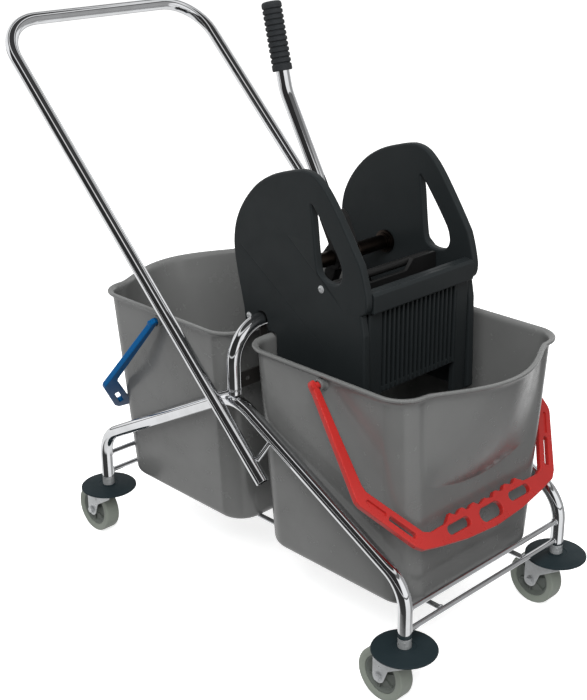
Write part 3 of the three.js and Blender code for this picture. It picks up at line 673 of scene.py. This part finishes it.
# ---- bails ----
def bail_parts():
    outer = [(186, -9), (189, -4), (189.5, 10), (209.5, 160), (207, 168), (154, 247), (143, 256), (110, 263),
             (60, 271), (0, 275)]
    grip = curve_through([(0, 233), (14, 237), (24, 231), (38, 235.5), (48, 229.5), (62, 234), (72, 228.5)])
    inner = grip + [(86, 238), (118, 239), (130, 234), (187, 154), (189, 144), (178.3, 10), (178.3, -4),
                    (181, -9)]
    half = rounded([(a, -s) for a, s in outer[::-1]] + [(a, -s) for a, s in inner[::-1]], 5, 5)
    half = [p for p in half if p[0] > 0.5]
    outline = [(0, -275), *half, (0, -233)] + [(-a, b) for a, b in half[::-1]]

    def slot(across, down, reach, r):
        return [*arc(across + reach, -down, r, -90, 90, 12), *arc(across - reach, -down, r, 90, 270, 12)]

    elbow, corner = Vector((197, -161)), Vector((142, -240.5))
    across_web = (corner - elbow).orthogonal().normalized()

    def web_slot(start, end, half_width, side):
        spots = [elbow.lerp(corner, t) + across_web * w * half_width
                 for t, w in ((start, 1), (end, 1), (end, -1), (start, -1))]
        return rounded([(side * a, b) for a, b in spots], 3, 4)

    holes = [slot(0, 254, 13.5, 10), slot(-67, 249.5, 16.5, 6.5), slot(67, 249.5, 16.5, 6.5)]
    holes += [web_slot(0.46, 0.93, 3.6, side) for side in (-1, 1)]
    pockets = [(web_slot(0.04, 0.40, 3.2, side), 2.5, 0.8) for side in (-1, 1)]
    tilt = math.radians(BAIL_HANG)

    def place(across, up, level):
        """Turned from hanging straight down to leaning out on the bucket's front wall."""
        x = level * math.cos(tilt) - up * math.sin(tilt)
        z = level * math.sin(tilt) + up * math.cos(tilt)
        return (PIVOT_X + x, across, PIVOT_Z + z)

    parts = [prism(outline, -BAIL_BACK, BAIL_FRONT, place, 1.8, holes, pockets)]
    for s in (-1, 1):
        pin = rounded([(0, 168.8), (5, 168.8), (5, 182), (0, 182)], 0.6, closed=False)
        parts.append(turned(pin, (PIVOT_X, 0, PIVOT_Z), (0, s, 0), 36))
        cap = rounded([(0, 187), (4.6, 187), (4.6, 189.3), (0, 189.8)], 0.8, closed=False)
        parts.append(turned(cap, (PIVOT_X, 0, PIVOT_Z), (0, s, 0), 40))
    return parts


def bails():
    parts = bail_parts()
    dress(merged("bail_front", parts), "front_bail", "bail_red", "front_bail")
    dress(merged("bail_rear", [backwards(p) for p in parts]), "rear_bail", "bail_blue", "rear_bail")


# ---- wringer ----
def cheek_part(s):
    back = [(-36, 448.4), (-39, 475), (-50, 522), (-55, 548), (-56.4, 575), (-50, 604), (-32.8, 634),
            (-6.4, 661.5), (24.6, 680), (54.6, 690), (80, 696), (96, 696), (108, 692.5), (118.3, 686),
            (133.8, 671), (154.7, 643.5), (186.6, 596), (195.7, 578), (204.8, 543), (203, 524), (194.7, 517)]
    foot = rounded([(194.7, 517), (200, 490), (204, 352), (199, 347), (52, 347), (29.5, 372), (29.5, 448.4),
                    (10.4, 448.4)], 5, 4, closed=False)
    hook = arc(0, ARCH_TOP, TUBE + 0.4, 0, 180, 20)
    outline = curve_through(back, 4)[:-1] + foot + hook + [(-10.4, 448.4)]
    drop = curve_through([(102, 650.5), (105.4, 629.5), (109.2, 593), (113, 566), (118, 556), (126, 551.5),
                          (137, 549.8), (149, 551.6), (156, 557), (158.8, 566), (157, 577), (152, 588),
                          (138.3, 608), (121, 631.5), (106, 650)], 4, closed=True)
    ways = [[(126, low), (189.5, low), (189.5, high), (126, high)] for low, high in ((500, 512), (400, 412))]
    journal = arc(SHAFT_X, SHAFT_Z, 8.4, 0, 350, 35)
    inner_cuts = [(way, 5, 0) for way in ways] + [(journal, 8, 0)]
    creases = []
    for (x0, z0), (x1, z1) in (((56.9, 600.6), (162.3, 518.2)), ((-39.8, 567.3), (131.9, 450.6))):
        along = Vector((x1 - x0, z1 - z0)).normalized()
        across = Vector((-along.y, along.x)) * 1.3
        start, end = Vector((x0, z0)), Vector((x1, z1))
        line = [start - across, end - across, end + along * 2,
                end + across, start + across, start - along * 2]
        creases.append(([tuple(p) for p in line], 0.35, 0.9))
    if s > 0:
        return prism(outline, CHEEK_IN, CHEEK_OUT, side_on, 3.2, [drop], creases, inner_cuts, 5)
    return prism(outline, -CHEEK_OUT, -CHEEK_IN, side_on, 3.2, [drop], inner_cuts, creases, 5)


def wringer_cheeks():
    for side, s in SIDES:
        cheek = merged(f"cheek_{side}", [cheek_part(s)], 40)
        dress(cheek, "wringer", "wringer_black", f"wringer_cheek_{side}")


def wringer_fixings():
    half = CHEEK_IN - 0.3
    for name, (x, z, r) in (("rear", REAR_TIE), ("front", FRONT_TIE)):
        bar_profile = rounded([(0, -half), (r, -half), (r, half), (0, half)], 0.6, closed=False)
        dress(merged(f"tie_{name}", [turned(bar_profile, (x, 0, z), (0, 1, 0), 40)]), "wringer", "hub_black",
              f"wringer_tie_{name}")
        for side, s in SIDES:
            seat = CHEEK_OUT - 0.2
            head = [(0, seat), (4.4, seat), (4.4, seat + 0.5), (4, seat + 1.7), (3, seat + 2.5),
                    (2.3, seat + 2.7), (2, seat + 1.1), (0, seat + 1.1)]
            washer = [(4, seat), (5.4, seat), (5.4, seat + 0.5), (4, seat + 0.5)]
            parts = [turned(head, (x, 0, z), (0, s, 0), 40),
                     turned(washer, (x, 0, z), (0, s, 0), 40, closed=True)]
            screw = merged(f"screw_{name}_{side}", parts)
            dress(screw, "wringer", "zinc_steel", f"wringer_screw_{name}_{side}")


def wringer_grid():
    back, front, half_y, rib_half, ribs = 188, 198, 104.1, 78, 17
    foot, shelf, top = 347, 397.5, 549
    parts = []
    for s in (-1, 1):
        low, high = sorted((s * (rib_half - 0.5), s * half_y))
        post = [(low, foot), (high, foot), (high, 520), (low, 520)]
        parts.append(prism(post, back, front, front_on, 2.2))
    head_bar = [(-half_y, 514), (half_y, 514), (half_y, top), (-half_y, top)]
    parts.append(prism(head_bar, back, front, front_on, 2))
    band = rounded([(194, 518.5), (206.6, 519.5), (206.6, 544.5), (203, 548.6), (194, 548.6)], 2.4, 4)
    parts.append(prism(band, -half_y, half_y, side_on, 1.5))
    shelf_bar = [(-rib_half, shelf), (rib_half, shelf), (rib_half, shelf + 9), (-rib_half, shelf + 9)]
    parts.append(prism(shelf_bar, back, front, front_on, 1.6))
    pitch = 2 * rib_half / ribs
    for i in range(ribs):
        y = -rib_half + (i + 0.5) * pitch
        width = pitch / 2 - 2
        section = rounded([(back + 1, y - width), (front + 1.2, y - width + 0.5), (front + 2.4, y),
                           (front + 1.2, y + width - 0.5), (back + 1, y + width)], 1.2, 3)
        parts.append(prism(section, shelf + 2, 517, from_above, 0.6, steps=2))
    dress(merged("grid", parts), "wringer", "wringer_black", "wringer_grid")


def press():
    x, half_y, low, high, notch = 131, 103.6, 362, 547, 39
    outline = [(-half_y, low), (half_y, low), (half_y, high), (notch + 14, high), (notch, high - 15),
               (-notch, high - 15), (-notch - 14, high), (-half_y, high)]
    slots = [rounded([(y - 3, 418), (y + 3, 418), (y + 3, 492), (y - 3, 492)], 2.9, 5)
             for y in (-84, -63, -42, -21, 21, 42, 63, 84)]
    parts = [prism(rounded(outline, 4), x, x + 6, front_on, 1.2, slots)]
    gusset = rounded([(x + 1, 438), (x + 1, 518), (29.6, 489), (29.6, 468)], 2)
    for s in (-1, 1):
        parts.append(prism(gusset, s * 13 - 2, s * 13 + 2, side_on, 0.7))
    parts.append(block(28.6, 33.6, -17, 17, 468, 489, 1.2))
    for z in (501, 401):
        parts.append(block(x - 2, x + 8, -108.8, 108.8, z, z + 10, 1.2))
    dress(merged("plate", parts), "press", "hub_black", "press_plate")


# ---- lever ----
def beside_lever(up, out):
    """A point beside the shaft: up along the lever, then out towards the front."""
    a = math.radians(LEVER_TILT)
    way, side = Vector((-math.sin(a), math.cos(a))), Vector((math.cos(a), math.sin(a)))
    return tuple(Vector((SHAFT_X, SHAFT_Z)) + side * (LEVER_OFFSET + out) + way * up)


def lever_parts():
    half = CHEEK_IN - 0.3
    shaft = [(0, -half - 7), (8, -half - 7), (8, -half), (17, -half), (17, -half + 5), (14, -half + 5.6),
             (14, -half + 9), (SHAFT_R, -half + 9.6), (SHAFT_R, half - 9.6), (14, half - 9), (14, half - 5.6),
             (17, half - 5), (17, half), (8, half), (8, half + 7), (0, half + 7)]
    part = turned(rounded(shaft, 0.7, 3, closed=False), (SHAFT_X, 0, SHAFT_Z), (0, 1, 0), 56)
    dress(merged("shaft", [part]), "lever", "shaft_steel", "wringer_shaft")

    body = [*arc(SHAFT_X, SHAFT_Z, 19, 170, 330, 24), beside_lever(4, 15), beside_lever(46, 19),
            beside_lever(60, 14.5), beside_lever(60, -14.5), beside_lever(20, -15)]
    arm_way = Vector((math.cos(math.radians(-110)), math.sin(math.radians(-110))))
    tip = Vector((SHAFT_X, SHAFT_Z)) + arm_way * 56
    arm = [*arc(SHAFT_X, SHAFT_Z, 12, -20, -200, 1), *arc(tip.x, tip.y, 8, -195, -25, 14)]
    low, high = beside_lever(13.6, 0), beside_lever(60.6, 0)
    ring = turned(rounded([(10.3, 0), (14.4, 0), (14.4, 5), (10.3, 5)], 1), (high[0], 0, high[1] - 2),
                  (high[0] - low[0], 0, high[1] - low[1]), 48, closed=True)
    parts = [prism(rounded(body, 3), -14.2, 14.2, side_on, 2), prism(arm, -8, 8, side_on, 1.5), ring]
    dress(merged("hub", parts), "lever", "hub_black", "lever_hub")

    coils, per_coil = 4, 28
    spots = []
    for i in range(coils * per_coil + 1):
        a = 2 * math.pi * i / per_coil
        spots.append(Vector((SHAFT_X + 14 * math.cos(a), 18 + 5 * i / per_coil, SHAFT_Z + 14 * math.sin(a))))
    line = [(p, (spots[min(i + 1, len(spots) - 1)] - spots[max(i - 1, 0)]).normalized())
            for i, p in enumerate(spots)]
    dress(merged("spring", [bar(line, 1.5, 0, 12, 0.3)]), "lever", "shaft_steel", "return_spring")

    tilt = math.radians(GRIP_TILT)
    way = Vector((-math.sin(tilt), 0, math.cos(tilt)))
    bend = Vector((LEVER_BEND[0], 0, LEVER_BEND[1]))
    foot = bend + way * 28
    start = beside_lever(14, 0)
    line = bent_line([(start[0], 0, start[1]), tuple(bend), tuple(foot + way * (GRIP_LENGTH - 5))], [70])
    dress(merged("lever_tube", [bar(line, TUBE, TUBE_BORE)]), "lever", "chrome_tube", "wringer_lever")
    profile = [(10.2, 0), (GRIP_R - 1.4, 0), (GRIP_R - 0.4, 0.5), (GRIP_R, 1.4), (GRIP_R, 8.6)]
    pitch = (GRIP_LENGTH - 14) / GRIP_RIBS
    for i in range(GRIP_RIBS):
        h = 9 + i * pitch
        profile += [(GRIP_R - 1.7, h + 0.9), (GRIP_R - 1.9, h + 1.7), (GRIP_R - 1.5, h + 2.4),
                    (GRIP_R, h + 3.4), (GRIP_R, h + pitch - 0.3)]
    profile += [(GRIP_R, GRIP_LENGTH - 4.2), (GRIP_R - 1, GRIP_LENGTH - 1.8),
                (GRIP_R - 3.4, GRIP_LENGTH - 0.4), (GRIP_R - 6, GRIP_LENGTH), (0, GRIP_LENGTH),
                (0, GRIP_LENGTH - 4), (10.2, GRIP_LENGTH - 4)]
    part = turned(profile, tuple(foot), tuple(way), 72, closed=True)
    dress(merged("grip", [part]), "lever", "grip_rubber", "lever_grip")


# ---- the set: floor, lights and camera, in metres ----
FLOOR_HALF, FLOOR_LEVEL, FLOOR_GLOW = 16, -0.0005, 0.65
WORLD_GLOW = 0.5
MIDDLE = (0.07, 0, 0.35)
LAMPS = (("key", (1.7, -1.9, 2.9), 1.8, 120), ("top", (0.1, -0.1, 3.2), 2.2, 40))
CAMERA_PLACE, CAMERA_TURNS, LENS = (1.3405, -1.2699, 1.1014), (46.253, 21.804, -0.681), 65.4
ROOM_CENTRE, ROOM_RADIUS, ROOM_BANDS = (0.07, 0, 0.4), 4.5, 24
# What the chrome reflects: (share of the way from straight down to straight up, brightness) on the dark and
# the bright side of the room, then (share of a turn, how much of the bright side is seen there).
ROOM_DARK = [(0, 0.9), (0.16, 0.8), (0.22, 0.05), (0.47, 0.03), (0.485, 0.7), (0.50, 0.7), (0.515, 0.03),
             (0.86, 0.03), (0.88, 0.9), (0.91, 0.9), (0.93, 0.05), (1, 0.05)]
ROOM_BRIGHT = [(0, 0.9), (0.40, 0.95), (0.465, 1.0), (0.475, 0.1), (0.495, 0.1), (0.505, 1.0), (0.80, 1.0),
               (0.815, 0.15), (0.87, 0.15), (0.885, 0.8), (0.915, 0.8), (0.93, 0.05), (1, 0.05)]
ROOM_TURN = [(0, 1), (0.125, 1), (0.14, 0), (0.395, 0), (0.41, 1), (0.575, 1), (0.59, 0.35), (0.73, 0.35),
             (0.75, 1), (0.82, 1), (0.84, 0.55), (0.95, 0.6), (1, 1)]


def stage_object(name, mesh, material):
    made = bpy.data.objects.new(name, mesh)
    bpy.context.scene.collection.objects.link(made)
    mesh.materials.append(material)
    return made


def floor():
    mesh = bpy.data.meshes.new("floor")
    signs = ((-1, -1), (1, -1), (1, 1), (-1, 1))
    mesh.from_pydata([(a * FLOOR_HALF, b * FLOOR_HALF, FLOOR_LEVEL) for a, b in signs], [], [[0, 1, 2, 3]])
    material, tree, shader = nodes_of("floor_white")
    tone = ranged(tree, noise_at(tree, 3, 3), 0.3, 0.7, 0, 1)
    tree.links.new(two_tone(tree, tone, (0.92, 0.92, 0.92), (0.95, 0.95, 0.95)), shader.inputs["Base Color"])
    shader.inputs["Roughness"].default_value = 0.7
    shader.inputs["Specular IOR Level"].default_value = 0.2
    shader.inputs["Emission Color"].default_value = (1, 1, 1, 1)
    shader.inputs["Emission Strength"].default_value = FLOOR_GLOW
    ground = stage_object("floor", mesh, material)
    ground.visible_glossy = False
    ground.visible_diffuse = False


def ramp(tree, value, stops):
    node = tree.nodes.new("ShaderNodeValToRGB")
    elements = node.color_ramp.elements
    while len(elements) < len(stops):
        elements.new(0.5)
    for element, (position, grey) in zip(elements, stops):
        element.position = position
        element.color = (grey, grey, grey, 1)
    tree.links.new(value, node.inputs["Fac"])
    return node.outputs["Color"]


def reflection_room():
    """A ball round the set that only reflections see: soft boxes and dark flags for the chrome's bands."""
    rings = []
    turns = [math.pi * i / ROOM_BANDS for i in range(2 * ROOM_BANDS)]
    for k in range(1, ROOM_BANDS):
        a = math.pi * k / ROOM_BANDS
        rings.append([(math.sin(a) * math.cos(t), math.sin(a) * math.sin(t), -math.cos(a)) for t in turns])
    points, faces = ring_skin(rings)
    mesh = bpy.data.meshes.new("reflection_room")
    mesh.from_pydata(points, [], faces)
    material = bpy.data.materials.new("reflection_room")
    material.use_nodes = True
    tree = material.node_tree
    tree.nodes.clear()
    spot = tree.nodes.new("ShaderNodeTexCoord").outputs["Object"]
    split = tree.nodes.new("ShaderNodeSeparateXYZ")
    tree.links.new(spot, split.inputs["Vector"])
    height = ranged(tree, split.outputs["Z"], -1, 1, 0, 1)
    around = tree.nodes.new("ShaderNodeTexGradient")
    around.gradient_type = "RADIAL"
    tree.links.new(spot, around.inputs["Vector"])
    bands = ramp(tree, height, ROOM_DARK)
    sides = ramp(tree, height, ROOM_BRIGHT)
    opening = ramp(tree, around.outputs["Fac"], ROOM_TURN)
    blend = tree.nodes.new("ShaderNodeMix")
    blend.data_type = "RGBA"
    colours = [s for s in blend.inputs if s.type == "RGBA"]
    tree.links.new(opening, blend.inputs["Factor"])
    tree.links.new(bands, colours[0])
    tree.links.new(sides, colours[1])
    glow = tree.nodes.new("ShaderNodeEmission")
    tree.links.new(next(s for s in blend.outputs if s.type == "RGBA"), glow.inputs["Color"])
    out = tree.nodes.new("ShaderNodeOutputMaterial")
    tree.links.new(glow.outputs["Emission"], out.inputs["Surface"])
    ball = stage_object("reflection_room", mesh, material)
    ball.location = ROOM_CENTRE
    ball.scale = (ROOM_RADIUS, ROOM_RADIUS, ROOM_RADIUS)
    ball.visible_camera = False
    ball.visible_diffuse = False
    ball.visible_shadow = False
    ball.visible_transmission = False


def lamp(name, centre, size, power):
    """A square soft light aimed at the trolley, unseen itself by the camera and by reflections."""
    data = bpy.data.lights.new(name, "AREA")
    data.shape = "RECTANGLE"
    data.size = data.size_y = size
    data.energy = power
    light = bpy.data.objects.new(name, data)
    bpy.context.scene.collection.objects.link(light)
    light.location = centre
    light.rotation_mode = "QUATERNION"
    light.rotation_quaternion = (Vector(centre) - Vector(MIDDLE)).to_track_quat("Z", "Y")
    light.visible_camera = False
    light.visible_glossy = False


def camera():
    azimuth, elevation, roll = (math.radians(a) for a in CAMERA_TURNS)
    back = Vector((math.sin(azimuth) * math.cos(elevation), -math.cos(azimuth) * math.cos(elevation),
                   math.sin(elevation)))
    level = Vector((math.cos(azimuth), math.sin(azimuth), 0))
    rise = back.cross(level)
    right = level * math.cos(roll) + rise * math.sin(roll)
    up = rise * math.cos(roll) - level * math.sin(roll)
    data = bpy.data.cameras.new("camera")
    data.lens = LENS
    data.sensor_width = 36
    data.clip_start, data.clip_end = 0.05, 50
    cam = bpy.data.objects.new("camera", data)
    bpy.context.scene.collection.objects.link(cam)
    cam.rotation_mode = "QUATERNION"
    cam.rotation_quaternion = Matrix((right, up, back)).transposed().to_quaternion()
    cam.location = CAMERA_PLACE
    bpy.context.scene.camera = cam


def world():
    made = bpy.data.worlds.new("studio")
    made.use_nodes = True
    background = made.node_tree.nodes["Background"]
    background.inputs["Color"].default_value = (1, 1, 1, 1)
    background.inputs["Strength"].default_value = WORLD_GLOW
    bpy.context.scene.world = made
    bpy.context.scene.view_settings.view_transform = "Standard"


camera()
world()
floor()
reflection_room()
for lamp_name, lamp_place, lamp_size, lamp_power in LAMPS:
    lamp(lamp_name, lamp_place, lamp_size, lamp_power)

tubes()
rods()
cross_bar()
for end_name, e_sign in ENDS:
    for side_name, s_sign in SIDES:
        caster(f"{end_name}_{side_name}", e_sign * CASTER_X, s_sign * CASTER_Y)
buckets()
bails()
wringer_cheeks()
wringer_fixings()
wringer_grid()
press()
lever_parts()
